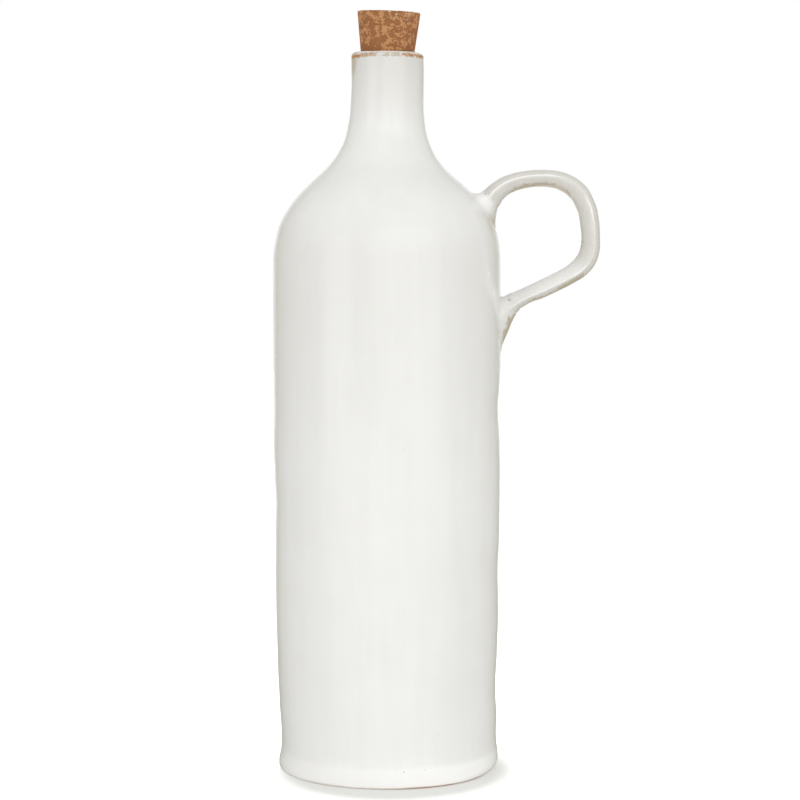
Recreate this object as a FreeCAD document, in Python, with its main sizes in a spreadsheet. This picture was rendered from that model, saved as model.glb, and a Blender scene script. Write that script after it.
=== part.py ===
import FreeCAD, Part
import math
import os

import Sketcher

Vector = FreeCAD.Vector

# A hand-thrown stoneware oil bottle: a hollow body with a pulled strap handle luted to it,
# fired as one piece, and a tapered cork stopper that lifts out of the mouth.
# The origin is on the bottle's axis at the resting plane; the handle points towards +X.

doc = FreeCAD.newDocument("oil_bottle")

SIZES = [
    # Thrown body, outside
    ("body_radius", 45.9, "widest radius, where the shoulder starts"),
    ("wall_taper", 2.1, "how much narrower the waist is than the widest radius"),
    ("foot_flare", 0.7, "how far the foot stands out past the waist"),
    ("foot_height", 4.0, "height of the foot's widest ring"),
    ("waist_height", 13.0, "height of the narrowest ring above the foot"),
    ("foot_edge", 1.0, "rounding of the bottom edge"),
    ("shoulder_height", 203.2, "height where the wall turns into the shoulder"),
    ("shoulder_curve", 17.9, "reach of the shoulder's rounding from the corner of wall and slope"),
    ("neck_height", 60.3, "height where the neck becomes straight, above the shoulder's start"),
    ("neck_radius", 14.6, "outer radius of the neck"),
    ("neck_curve", 14.95, "reach of the neck's hollow curve from the corner of slope and neck"),
    ("rim_height", 22.5, "top of the lip above the start of the straight neck"),
    ("lip_outer_edge", 1.6, "rounding of the lip's outer edge"),
    ("lip_inner_edge", 1.2, "rounding of the lip's inner edge"),
    # Thrown body, inside
    ("wall", 4.5, "wall thickness of the body"),
    ("neck_wall", 4.05, "wall thickness of the neck"),
    ("floor_thickness", 6.0, "thickness of the floor"),
    ("floor_corner", 8.0, "inside rounding between floor and wall"),
    ("foot_ring", 7.5, "width of the bare ring that the bottle stands on"),
    ("foot_recess", 0.9, "depth of the trimmed underside inside the foot ring"),
    ("foot_ring_edge", 0.5, "rounding of the foot ring's inner edge"),
    # Strap handle, its centre line
    ("root_angle", 51.5, "slope of the strap where it leaves the shoulder, degrees"),
    ("root_along", 34.0, "place of the upper root round the shoulder's arc, degrees"),
    ("root_depth", 6.0, "how far the strap's root reaches into the clay"),
    ("knee_curve", 12.0, "radius of the bend above the upper root"),
    ("crown_reach", 14.9, "distance of the strap's highest point from the wall"),
    ("crown_rise", 33.8, "height of the strap's highest point above the shoulder's start"),
    ("crown_curve", 52.0, "radius of the strap's top"),
    ("corner_curve", 13.6, "radius of the strap's upper far corner"),
    ("back_reach", 35.5, "distance of the strap's farthest point from the wall"),
    ("back_rise", 10.6, "height of the strap's farthest point above the shoulder's start"),
    ("back_curve", 40.0, "radius of the strap's back"),
    ("low_corner_curve", 8.2, "radius of the strap's lower far corner"),
    ("low_angle", 26.5, "slope of the lower span, degrees"),
    ("low_drop", 17.8, "drop of the lower span's end at the wall below the shoulder's start"),
    ("wipe_curve", 10.0, "radius of the bend where the strap is wiped down the wall"),
    ("tail_depth", 1.0, "how far the tail's centre line lies under the wall's surface"),
    ("tail_length", 17.0, "length of the tail wiped down the wall"),
    # Strap handle, its section
    ("root_width", 18.6, "width of the strap inside the shoulder's clay"),
    ("root_thick", 10.4, "thickness of the strap inside the shoulder's clay"),
    ("knee_width", 16.6, "width of the strap where its upper bend starts"),
    ("knee_thick", 7.4, "thickness of the strap where its upper bend starts"),
    ("crown_width", 15.4, "width of the strap at its highest point"),
    ("crown_thick", 6.7, "thickness of the strap at its highest point"),
    ("corner_width", 14.8, "width of the strap at its upper far corner"),
    ("corner_thick", 7.6, "thickness of the strap at its upper far corner"),
    ("back_width", 14.4, "width of the strap's back"),
    ("back_thick", 7.3, "thickness of the strap's back"),
    ("low_width", 14.0, "width of the strap at its lower far corner"),
    ("low_thick", 8.0, "thickness of the strap at its lower far corner"),
    ("span_width", 13.6, "width of the lower span"),
    ("span_thick", 7.6, "thickness of the lower span"),
    ("wipe_width", 15.0, "width of the clay wiped on below the lower span"),
    ("wipe_thick", 9.6, "thickness of the clay wiped on below the lower span"),
    ("smear_width", 12.0, "width of the tail along its upper half"),
    ("smear_thick", 4.6, "thickness of the tail along its upper half"),
    ("tail_width", 8.0, "width of the tail's end"),
    ("tail_thick", 1.8, "thickness of the tail's end"),
    ("root_fillet", 2.6, "rounding where the upper root is smoothed into the shoulder"),
    # Cork stopper
    ("cork_length", 27.0, "length of the cork"),
    ("cork_stand", 17.8, "height of the cork's upper end above its seat in the mouth"),
    ("cork_slope", 6.8, "taper of the cork's side from its axis, degrees"),
    ("cork_edge", 0.9, "rounding of the cork's end edges"),
    ("cork_play", 0.07, "radial clearance of the cork at the mouth"),
    ("cork_lean", 2.1, "lean of the cork towards the handle, degrees"),
    ("cork_nod", 3.6, "lean of the cork away from the bottle's back, degrees"),
]

sheet = doc.addObject("Spreadsheet::Sheet", "sizes")
for row, (alias, value, note) in enumerate(SIZES, 1):
    sheet.set(f"A{row}", alias)
    sheet.set(f"B{row}", str(value))
    sheet.set(f"C{row}", note)
    sheet.setAlias(f"B{row}", alias)
doc.recompute()


def size(alias):
    return float(sheet.get(alias))


# Plane geometry used to lay the sketches out near their solved shape


def point(x, y):
    return Vector(x, y, 0)


def polar(centre, radius, degrees):
    turn = math.radians(degrees)
    return centre + radius * point(math.cos(turn), math.sin(turn))


def bearing(centre, target):
    return math.atan2(target.y - centre.y, target.x - centre.x)


def circle_meeting(centre_a, reach_a, centre_b, reach_b):
    # The point at both distances, to the right of the way from a to b
    along = centre_b - centre_a
    span = along.Length
    foot = (reach_a**2 - reach_b**2 + span**2) / (2 * span)
    off = math.sqrt(max(reach_a**2 - foot**2, 0))
    return centre_a + along * (foot / span) + point(along.y, -along.x) * (off / span)


def line_meeting(start, direction, centre, reach):
    # The far point of a line at a distance from a centre
    to_centre = centre - start
    across = to_centre.x * direction.y - to_centre.y * direction.x
    return start + direction * (to_centre.dot(direction) + math.sqrt(max(reach**2 - across**2, 0)))


def arc(centre, radius, start, end):
    # Anticlockwise from start to end, given by the points that it runs between
    circle = Part.Circle(centre, Vector(0, 0, 1), radius)
    return Part.ArcOfCircle(circle, bearing(centre, start), bearing(centre, end))


def origin_plane(body, role):
    return [feature for feature in body.Origin.OriginFeatures if feature.Role == role][0]


def new_sketch(body, name, role):
    sketch = body.newObject("Sketcher::SketchObject", name)
    sketch.AttachmentSupport = [(origin_plane(body, role), "")]
    sketch.MapMode = "FlatFace"
    return sketch


def bind(sketch, name, formula, *constraint):
    # A named constraint whose value follows the sheet
    index = sketch.addConstraint(Sketcher.Constraint(*constraint))
    sketch.renameConstraint(index, name)
    sketch.setExpression(f"Constraints.{name}", formula)


def tie(sketch, kind, *ends):
    sketch.addConstraint(Sketcher.Constraint(kind, *ends))


# Outline shared by the outside and the inside: shoulder arc, slope, neck arc and neck line


# Heights above the resting plane, and the radii of the two roundings that the slope touches
neck_start = size("shoulder_height") + size("neck_height")
rim = neck_start + size("rim_height")
shoulder_corner = point(size("body_radius"), size("shoulder_height") + size("shoulder_curve"))
neck_corner = point(size("neck_radius"), neck_start - size("neck_curve"))
half_turn = (bearing(shoulder_corner, neck_corner) - math.pi / 2) / 2
shoulder_radius = size("shoulder_curve") / math.tan(half_turn)
throat_radius = size("neck_curve") / math.tan(half_turn)
NECK_START = "sizes.shoulder_height + sizes.neck_height"
RIM = f"{NECK_START} + sizes.rim_height"


def add_neck(sketch, wall_arc, belly, shoulder, neck, throat, top, formulas):
    # wall_arc is the arc below, already drawn; the new pieces follow it in order
    low = point(belly - shoulder, size("shoulder_height"))
    high = point(neck + throat, neck_start)
    middle = low + (high - low) * (shoulder / (shoulder + throat))
    half_span = (middle - low).Length
    lean = math.degrees(bearing(low, high)) - math.degrees(math.acos(shoulder / half_span))
    slope_low = polar(low, shoulder, lean)
    slope_high = polar(high, throat, lean + 180)
    shoulder_arc = sketch.addGeometry(arc(low, shoulder, point(belly, low.y), slope_low))
    slope = sketch.addGeometry(Part.LineSegment(slope_low, slope_high))
    neck_arc = sketch.addGeometry(arc(high, throat, point(neck, high.y), slope_high))
    neck_line = sketch.addGeometry(Part.LineSegment(point(neck, high.y), point(neck, top)))
    top_line = sketch.addGeometry(Part.LineSegment(point(neck, top), point(0, top)))
    tie(sketch, "Tangent", wall_arc, 2, shoulder_arc, 1)
    tie(sketch, "Tangent", shoulder_arc, 2, slope, 1)
    tie(sketch, "Tangent", slope, 2, neck_arc, 2)
    tie(sketch, "Tangent", neck_arc, 1, neck_line, 1)
    tie(sketch, "Vertical", neck_line)
    tie(sketch, "Coincident", neck_line, 2, top_line, 1)
    tie(sketch, "Horizontal", top_line)
    tie(sketch, "PointOnObject", top_line, 2, -2)
    bind(sketch, "belly", formulas["belly"], "DistanceX", -1, 1, shoulder_arc, 1, belly)
    bind(sketch, "belly_height", "sizes.shoulder_height", "DistanceY", -1, 1, shoulder_arc, 1, low.y)
    bind(sketch, "shoulder_centre", "sizes.shoulder_height", "DistanceY", -1, 1, shoulder_arc, 3, low.y)
    bind(sketch, "throat_height", NECK_START, "DistanceY", -1, 1, neck_arc, 3, high.y)
    bind(sketch, "neck", formulas["neck"], "DistanceX", -1, 1, neck_line, 2, neck)
    bind(sketch, "top", formulas["top"], "DistanceY", -1, 1, neck_line, 2, top)
    return shoulder_arc, slope, neck_arc, top_line


def measure(sketch, name, edge, radius):
    # A named radius that follows the sketch, for other sketches to read
    index = sketch.addConstraint(Sketcher.Constraint("Radius", edge, radius))
    sketch.setDriving(index, False)
    sketch.renameConstraint(index, name)


# The bottle is one fired solid: thrown body, luted handle, trimmed foot
bottle = doc.addObject("PartDesign::Body", "bottle")
bottle.Label = "bottle"

# Outside of the thrown body, radius across and height up
waist = size("body_radius") - size("wall_taper")
foot_to_waist = size("waist_height") - size("foot_height")
foot_curve = (foot_to_waist**2 + size("foot_flare") ** 2) / (4 * size("foot_flare"))
foot_centre = point(waist + size("foot_flare") - foot_curve, size("foot_height"))
waist_centre = point(waist + foot_curve, size("waist_height"))
wall_rise = size("shoulder_height") - size("waist_height")
wall_curve = (wall_rise**2 + size("wall_taper") ** 2) / (2 * size("wall_taper")) - foot_curve
wall_centre = point(size("body_radius") - wall_curve, size("shoulder_height"))
foot_meets_waist = (foot_centre + waist_centre) * 0.5
waist_meets_wall = polar(wall_centre, wall_curve, math.degrees(bearing(wall_centre, waist_centre)))
foot_reach = math.sqrt(foot_curve**2 - size("foot_height") ** 2)
base_end = point(foot_centre.x + foot_reach, 0)

outside = new_sketch(bottle, "outer_profile", "XZ_Plane")
base = outside.addGeometry(Part.LineSegment(point(0, 0), base_end))
foot_arc = outside.addGeometry(arc(foot_centre, foot_curve, base_end, foot_meets_waist))
waist_arc = outside.addGeometry(arc(waist_centre, foot_curve, waist_meets_wall, foot_meets_waist))
shoulder_start = point(size("body_radius"), size("shoulder_height"))
wall_arc = outside.addGeometry(arc(wall_centre, wall_curve, waist_meets_wall, shoulder_start))
tie(outside, "Coincident", base, 1, -1, 1)
tie(outside, "PointOnObject", base, 2, -1)
tie(outside, "Coincident", base, 2, foot_arc, 1)
tie(outside, "Tangent", foot_arc, 2, waist_arc, 2)
tie(outside, "Tangent", waist_arc, 1, wall_arc, 1)
tie(outside, "Equal", foot_arc, waist_arc)
FOOT_CURVE = "((sizes.waist_height - sizes.foot_height)^2 + sizes.foot_flare^2) / (4 * sizes.foot_flare)"
FOOT_CENTRE = f"sizes.body_radius - sizes.wall_taper + sizes.foot_flare - {FOOT_CURVE}"
bind(outside, "foot_curve", FOOT_CURVE, "Radius", foot_arc, foot_curve)
bind(outside, "foot_centre", FOOT_CENTRE, "DistanceX", -1, 1, foot_arc, 3, foot_centre.x)
bind(outside, "foot_height", "sizes.foot_height", "DistanceY", -1, 1, foot_arc, 3, foot_centre.y)
bind(outside, "waist_height", "sizes.waist_height", "DistanceY", -1, 1, waist_arc, 3, waist_centre.y)
shoulder_arc, slope_line, neck_arc, rim_line = add_neck(
    outside, wall_arc, size("body_radius"), shoulder_radius,
    size("neck_radius"), throat_radius, rim,
    {"belly": "sizes.body_radius", "neck": "sizes.neck_radius", "top": RIM},
)
axis_line = outside.addGeometry(Part.LineSegment(point(0, rim), point(0, 0)))
tie(outside, "Coincident", rim_line, 2, axis_line, 1)
tie(outside, "Coincident", axis_line, 2, -1, 1)
# The slope's line runs through the corners that the two roundings cut off
wall_corner_mark = outside.addGeometry(Part.Point(shoulder_corner), True)
neck_corner_mark = outside.addGeometry(Part.Point(neck_corner), True)
tie(outside, "PointOnObject", wall_corner_mark, 1, slope_line)
tie(outside, "PointOnObject", neck_corner_mark, 1, slope_line)
bind(
    outside, "wall_corner_x", "sizes.body_radius",
    "DistanceX", -1, 1, wall_corner_mark, 1, shoulder_corner.x,
)
bind(
    outside, "wall_corner_z", "sizes.shoulder_height + sizes.shoulder_curve",
    "DistanceY", -1, 1, wall_corner_mark, 1, shoulder_corner.y,
)
bind(
    outside, "neck_corner_x", "sizes.neck_radius",
    "DistanceX", -1, 1, neck_corner_mark, 1, neck_corner.x,
)
bind(
    outside, "neck_corner_z", f"{NECK_START} - sizes.neck_curve",
    "DistanceY", -1, 1, neck_corner_mark, 1, neck_corner.y,
)
measure(outside, "wall_arc", wall_arc, wall_curve)
measure(outside, "shoulder", shoulder_arc, shoulder_radius)
measure(outside, "throat", neck_arc, throat_radius)

thrown = bottle.newObject("PartDesign::Revolution", "thrown_body")
thrown.Profile = outside
thrown.ReferenceAxis = (outside, ["V_Axis"])
thrown.Angle = 360

# Centre line of the strap: root, knee, crown, corner, back, low corner, lower span, wipe, tail
shoulder_middle = point(size("body_radius") - shoulder_radius, size("shoulder_height"))
root = polar(shoulder_middle, shoulder_radius, size("root_along"))
root_way = polar(point(0, 0), 1, size("root_angle"))
root_start = root - root_way * size("root_depth")
crown_top = point(
    size("body_radius") + size("crown_reach"),
    size("shoulder_height") + size("crown_rise"),
)
back_end = point(
    size("body_radius") + size("back_reach"),
    size("shoulder_height") + size("back_rise"),
)
crown_centre = crown_top - point(0, size("crown_curve"))
back_centre = back_end - point(size("back_curve"), 0)
corner_centre = circle_meeting(
    crown_centre, size("crown_curve") - size("corner_curve"),
    back_centre, size("back_curve") - size("corner_curve"),
)
knee_line = root + point(root_way.y, -root_way.x) * size("knee_curve")
knee_centre = line_meeting(
    knee_line, root_way, crown_centre, size("crown_curve") - size("knee_curve"),
)
low_way = polar(point(0, 0), 1, size("low_angle"))
low_above = point(-low_way.y, low_way.x)
low_end = point(size("body_radius"), size("shoulder_height") - size("low_drop"))
low_corner_centre = line_meeting(
    low_end + low_above * size("low_corner_curve"), low_way,
    back_centre, size("back_curve") - size("low_corner_curve"),
)
tail_x = size("body_radius") - size("tail_depth")
wipe_x = tail_x + size("wipe_curve")
wipe_turn = (wipe_x - low_end.x + low_above.x * size("wipe_curve")) / low_way.x
wipe_centre = low_end - low_above * size("wipe_curve") + low_way * wipe_turn
tail_end = point(tail_x, wipe_centre.y - size("tail_length"))


def meeting(outer_centre, outer_curve, inner_centre):
    # Where an arc touches a tighter one inside it
    return polar(outer_centre, outer_curve, math.degrees(bearing(outer_centre, inner_centre)))


knee_start = knee_centre - point(root_way.y, -root_way.x) * size("knee_curve")
crown_start = meeting(crown_centre, size("crown_curve"), knee_centre)
corner_start = meeting(crown_centre, size("crown_curve"), corner_centre)
back_start = meeting(back_centre, size("back_curve"), corner_centre)
low_corner_start = meeting(back_centre, size("back_curve"), low_corner_centre)
span_start = low_corner_centre - low_above * size("low_corner_curve")
wipe_start = wipe_centre + low_above * size("wipe_curve")
tail_start = point(tail_x, wipe_centre.y)

strap = new_sketch(bottle, "strap_path", "XZ_Plane")
strap.addGeometry([
    Part.LineSegment(root_start, knee_start),
    arc(knee_centre, size("knee_curve"), crown_start, knee_start),
    arc(crown_centre, size("crown_curve"), corner_start, crown_start),
    arc(corner_centre, size("corner_curve"), back_start, corner_start),
    arc(back_centre, size("back_curve"), low_corner_start, back_start),
    arc(low_corner_centre, size("low_corner_curve"), span_start, low_corner_start),
    Part.LineSegment(wipe_start, span_start),
    arc(wipe_centre, size("wipe_curve"), wipe_start, tail_start),
    Part.LineSegment(tail_start, tail_end),
])
# The pieces of the centre line, by their order in the sketch
ROOT, KNEE, CROWN, CORNER, BACK, LOW_CORNER, SPAN, WIPE, TAIL = range(9)
tie(strap, "Tangent", ROOT, 2, KNEE, 2)
tie(strap, "Tangent", KNEE, 1, CROWN, 2)
tie(strap, "Tangent", CROWN, 1, CORNER, 2)
tie(strap, "Tangent", CORNER, 1, BACK, 2)
tie(strap, "Tangent", BACK, 1, LOW_CORNER, 2)
tie(strap, "Tangent", LOW_CORNER, 1, SPAN, 2)
tie(strap, "Tangent", SPAN, 1, WIPE, 1)
tie(strap, "Tangent", WIPE, 2, TAIL, 1)
tie(strap, "Vertical", TAIL)
root_mark = strap.addGeometry(Part.Point(root), True)
wall_mark = strap.addGeometry(Part.Point(low_end), True)
tie(strap, "PointOnObject", root_mark, 1, ROOT)
tie(strap, "PointOnObject", wall_mark, 1, SPAN)

WALL = "sizes.body_radius"
BELLY = "sizes.shoulder_height"
SHOULDER = "outer_profile.Constraints.shoulder"
ROOT_X = f"sizes.body_radius * 1mm - {SHOULDER} * (1 - cos(sizes.root_along * 1deg))"
ROOT_Z = f"sizes.shoulder_height * 1mm + {SHOULDER} * sin(sizes.root_along * 1deg)"
bind(strap, "root_x", ROOT_X, "DistanceX", -1, 1, root_mark, 1, root.x)
bind(strap, "root_z", ROOT_Z, "DistanceY", -1, 1, root_mark, 1, root.y)
bind(strap, "root_depth", "sizes.root_depth", "Distance", ROOT, 1, root_mark, 1, size("root_depth"))
bind(strap, "root_angle", "sizes.root_angle", "Angle", ROOT, math.radians(size("root_angle")))
bind(strap, "knee_curve", "sizes.knee_curve", "Radius", KNEE, size("knee_curve"))
bind(strap, "crown_curve", "sizes.crown_curve", "Radius", CROWN, size("crown_curve"))
bind(
    strap, "crown_x", f"{WALL} + sizes.crown_reach",
    "DistanceX", -1, 1, CROWN, 3, crown_centre.x,
)
bind(
    strap, "crown_z", f"{BELLY} + sizes.crown_rise - sizes.crown_curve",
    "DistanceY", -1, 1, CROWN, 3, crown_centre.y,
)
bind(strap, "corner_curve", "sizes.corner_curve", "Radius", CORNER, size("corner_curve"))
bind(strap, "back_curve", "sizes.back_curve", "Radius", BACK, size("back_curve"))
bind(
    strap, "back_x", f"{WALL} + sizes.back_reach - sizes.back_curve",
    "DistanceX", -1, 1, BACK, 3, back_centre.x,
)
bind(strap, "back_z", f"{BELLY} + sizes.back_rise", "DistanceY", -1, 1, BACK, 3, back_centre.y)
bind(
    strap, "low_corner_curve", "sizes.low_corner_curve",
    "Radius", LOW_CORNER, size("low_corner_curve"),
)
bind(strap, "low_angle", "sizes.low_angle", "Angle", SPAN, math.radians(size("low_angle")))
bind(strap, "low_x", WALL, "DistanceX", -1, 1, wall_mark, 1, low_end.x)
bind(strap, "low_z", f"{BELLY} - sizes.low_drop", "DistanceY", -1, 1, wall_mark, 1, low_end.y)
bind(strap, "wipe_curve", "sizes.wipe_curve", "Radius", WIPE, size("wipe_curve"))
bind(strap, "tail_x", f"{WALL} - sizes.tail_depth", "DistanceX", -1, 1, TAIL, 2, tail_x)
bind(strap, "tail_length", "sizes.tail_length", "DistanceY", TAIL, 2, TAIL, 1, size("tail_length"))


def oval_section(name, edge, along, reverse, turn, width, thickness):
    # An oval across the strap at a share of one of the path's pieces, width along Y
    section = bottle.newObject("Sketcher::SketchObject", name)
    section.AttachmentSupport = [(strap, f"Edge{edge + 1}")]
    section.MapMode = "NormalToEdge"
    section.MapPathParameter = along
    section.MapReversed = reverse
    section.AttachmentOffset = FreeCAD.Placement(Vector(), FreeCAD.Rotation(Vector(0, 0, 1), turn))
    half_width = size(width) / 2
    half_thickness = size(thickness) / 2
    oval = Part.Ellipse(point(half_width, 0), point(0, half_thickness), point(0, 0))
    section.addGeometry(oval)
    section.exposeInternalGeometry(0)
    tie(section, "Coincident", 0, 3, -1, 1)
    tie(section, "Horizontal", 1)
    bind(section, "width", f"sizes.{width}", "Distance", 1, size(width))
    bind(section, "thickness", f"sizes.{thickness}", "Distance", 2, size(thickness))
    section.Visibility = False
    return section


sections = [
    oval_section("root_section", ROOT, 0.0, True, 0, "root_width", "root_thick"),
    oval_section("knee_section", ROOT, 1.0, True, 0, "knee_width", "knee_thick"),
    oval_section("crown_section", CROWN, 0.5, False, 0, "crown_width", "crown_thick"),
    oval_section("corner_section", CORNER, 0.5, False, 0, "corner_width", "corner_thick"),
    oval_section("back_section", BACK, 0.62, False, 0, "back_width", "back_thick"),
    oval_section("low_section", LOW_CORNER, 0.5, False, 180, "low_width", "low_thick"),
    oval_section("span_section", SPAN, 0.5, False, 180, "span_width", "span_thick"),
    oval_section("wipe_section", WIPE, 0.6, True, 180, "wipe_width", "wipe_thick"),
    oval_section("smear_section", TAIL, 0.4, True, 90, "smear_width", "smear_thick"),
    oval_section("tail_section", TAIL, 1.0, True, 90, "tail_width", "tail_thick"),
]

handle = bottle.newObject("PartDesign::AdditivePipe", "strap_handle")
handle.Profile = sections[0]
handle.Sections = [(section, [""]) for section in sections[1:]]
handle.Spine = (strap, [f"Edge{edge + 1}" for edge in range(TAIL + 1)])
handle.Mode = "Standard"
handle.Transformation = "Multisection"
handle.Transition = "Transformed"
strap.Visibility = False
doc.recompute()


def edges_where(shape, test):
    return [f"Edge{number}" for number, edge in enumerate(shape.Edges, 1) if test(edge)]


def fillet(body, name, base, edges, formula):
    rounding = body.newObject("PartDesign::Fillet", name)
    rounding.Base = (base, edges)
    rounding.setExpression("Radius", formula)
    doc.recompute()
    return rounding


# The upper root is smoothed into the shoulder all round
def at_upper_root(edge):
    box = edge.BoundBox
    near_shoulder = 0 < box.XMin and box.XMax < size("body_radius")
    above_wall = box.ZMin > size("shoulder_height")
    crosswise = box.YLength > size("root_width") / 8
    return near_shoulder and above_wall and crosswise


root_edges = edges_where(handle.Shape, at_upper_root)
smoothed = fillet(bottle, "smoothed_root", handle, root_edges, "sizes.root_fillet")

# Inside of the thrown body, which also trims the strap's ends flush
inside = new_sketch(bottle, "inner_profile", "XZ_Plane")
inner_belly = size("body_radius") - size("wall")
inner_wall_curve = wall_curve - size("wall")
inner_centre = point(inner_belly - inner_wall_curve, size("shoulder_height"))
inner_top = rim + size("lip_outer_edge")
corner = size("floor_corner")
corner_height = size("floor_thickness") + corner
corner_rise = size("shoulder_height") - corner_height
corner_x = inner_centre.x + math.sqrt((inner_wall_curve - corner) ** 2 - corner_rise**2)
floor_corner_centre = point(corner_x, corner_height)
corner_meets_wall = meeting(inner_centre, inner_wall_curve, floor_corner_centre)
floor_end = point(corner_x, size("floor_thickness"))
floor_line = inside.addGeometry(Part.LineSegment(point(0, size("floor_thickness")), floor_end))
corner_arc = inside.addGeometry(arc(floor_corner_centre, corner, floor_end, corner_meets_wall))
inner_shoulder_start = point(inner_belly, size("shoulder_height"))
inner_wall = inside.addGeometry(
    arc(inner_centre, inner_wall_curve, corner_meets_wall, inner_shoulder_start)
)
tie(inside, "PointOnObject", floor_line, 1, -2)
tie(inside, "Horizontal", floor_line)
tie(inside, "Tangent", floor_line, 2, corner_arc, 1)
tie(inside, "Tangent", corner_arc, 2, inner_wall, 1)
bind(
    inside, "floor", "sizes.floor_thickness",
    "DistanceY", -1, 1, floor_line, 1, size("floor_thickness"),
)
bind(inside, "corner", "sizes.floor_corner", "Radius", corner_arc, corner)
bind(
    inside, "wall_arc", "outer_profile.Constraints.wall_arc - sizes.wall * 1mm",
    "Radius", inner_wall, inner_wall_curve,
)
inner_shoulder, _, inner_neck, mouth_line = add_neck(
    inside, inner_wall, inner_belly, shoulder_radius - size("wall"),
    size("neck_radius") - size("neck_wall"), throat_radius + size("neck_wall"), inner_top,
    {
        "belly": "sizes.body_radius - sizes.wall",
        "neck": "sizes.neck_radius - sizes.neck_wall",
        "top": f"{RIM} + sizes.lip_outer_edge",
    },
)
bind(
    inside, "shoulder", f"{SHOULDER} - sizes.wall * 1mm",
    "Radius", inner_shoulder, shoulder_radius - size("wall"),
)
bind(
    inside, "throat", "outer_profile.Constraints.throat + sizes.neck_wall * 1mm",
    "Radius", inner_neck, throat_radius + size("neck_wall"),
)
inner_axis = inside.addGeometry(
    Part.LineSegment(point(0, inner_top), point(0, size("floor_thickness")))
)
tie(inside, "Coincident", mouth_line, 2, inner_axis, 1)
tie(inside, "Coincident", inner_axis, 2, floor_line, 1)

hollow = bottle.newObject("PartDesign::Groove", "hollow")
hollow.Profile = inside
hollow.ReferenceAxis = (inside, ["V_Axis"])
hollow.Angle = 360
inside.Visibility = False
doc.recompute()


# The lip is rounded on both edges of the mouth
def ring_at(height, radius):
    def on_ring(edge):
        curve = edge.Curve
        if not isinstance(curve, Part.Circle):
            return False
        return abs(curve.Center.z - height) < 0.01 and abs(curve.Radius - radius) < 0.01
    return on_ring


outer_rim = edges_where(hollow.Shape, ring_at(rim, size("neck_radius")))
lip = fillet(bottle, "lip_outside", hollow, outer_rim, "sizes.lip_outer_edge")
bore = size("neck_radius") - size("neck_wall")
inner_rim = edges_where(lip.Shape, ring_at(rim, bore))
lip = fillet(bottle, "lip_inside", lip, inner_rim, "sizes.lip_inner_edge")

# The foot's edge is wiped round and its underside trimmed inside a bare ring
base_rim = edges_where(lip.Shape, ring_at(0, base_end.x))
foot = fillet(bottle, "foot_edge_wiped", lip, base_rim, "sizes.foot_edge")
underside = new_sketch(bottle, "underside", "XY_Plane")
recess_radius = waist - size("foot_ring")
underside.addGeometry(Part.Circle(point(0, 0), Vector(0, 0, 1), recess_radius))
tie(underside, "Coincident", 0, 3, -1, 1)
RECESS = "sizes.body_radius - sizes.wall_taper - sizes.foot_ring"
bind(underside, "recess", RECESS, "Radius", 0, recess_radius)
recess = bottle.newObject("PartDesign::Pocket", "trimmed_underside")
recess.Profile = underside
recess.setExpression("Length", "sizes.foot_recess")
recess.Reversed = True
underside.Visibility = False
doc.recompute()
ring_edge = edges_where(recess.Shape, ring_at(0, recess_radius))
fillet(bottle, "foot_ring_inside", recess, ring_edge, "sizes.foot_ring_edge")

# The cork stopper, drawn round its own axis with the ring that meets the mouth at height 0
cork = doc.addObject("PartDesign::Body", "cork_stopper")
cork.Label = "cork_stopper"
seat = bore - size("cork_play")
slope = math.tan(math.radians(size("cork_slope")))
cork_top = size("cork_stand")
cork_bottom = cork_top - size("cork_length")
top_radius = seat + cork_top * slope
bottom_radius = seat + cork_bottom * slope
side = new_sketch(cork, "cork_profile", "XZ_Plane")
side.addGeometry([
    Part.LineSegment(point(0, cork_bottom), point(bottom_radius, cork_bottom)),
    Part.LineSegment(point(bottom_radius, cork_bottom), point(top_radius, cork_top)),
    Part.LineSegment(point(top_radius, cork_top), point(0, cork_top)),
    Part.LineSegment(point(0, cork_top), point(0, cork_bottom)),
])
for line in range(4):
    tie(side, "Coincident", line, 2, (line + 1) % 4, 1)
tie(side, "Horizontal", 0)
tie(side, "Horizontal", 2)
tie(side, "PointOnObject", 3, 1, -2)
tie(side, "PointOnObject", 3, 2, -2)
seat_mark = side.addGeometry(Part.Point(point(seat, 0)), True)
tie(side, "PointOnObject", seat_mark, 1, 1)
tie(side, "PointOnObject", seat_mark, 1, -1)
SEAT = "sizes.neck_radius - sizes.neck_wall - sizes.cork_play"
bind(side, "seat", SEAT, "DistanceX", -1, 1, seat_mark, 1, seat)
bind(side, "slope", "90 - sizes.cork_slope", "Angle", 1, math.radians(90 - size("cork_slope")))
bind(side, "stand", "sizes.cork_stand", "DistanceY", -1, 1, 1, 2, cork_top)
bind(side, "length", "sizes.cork_length", "DistanceY", 3, 2, 3, 1, size("cork_length"))
turned = cork.newObject("PartDesign::Revolution", "turned_cork")
turned.Profile = side
turned.ReferenceAxis = (side, ["V_Axis"])
turned.Angle = 360
side.Visibility = False
doc.recompute()
cork_rims = edges_where(turned.Shape, lambda edge: isinstance(edge.Curve, Part.Circle))
fillet(cork, "worn_edges", turned, cork_rims, "sizes.cork_edge")
# A leaning cone meets the mouth in an oval that stands off to the side it leans to,
# so the cork shifts back by as much to lie even in the mouth
SHIFT = f"({SEAT}) * tan(sizes.cork_slope * 1 deg)"
SEAT_X = f"-{SHIFT} * tan(sizes.cork_lean * 1 deg)"
SEAT_Y = f"{SHIFT} * tan(sizes.cork_nod * 1 deg)"
SEAT_Z = f"{RIM} - sizes.lip_inner_edge"
LEAN = "rotation(0 deg; sizes.cork_lean * 1 deg; sizes.cork_nod * 1 deg)"
cork.setExpression("Placement", f"placement(vector({SEAT_X}; {SEAT_Y}; {SEAT_Z}); {LEAN})")
doc.recompute()

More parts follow.
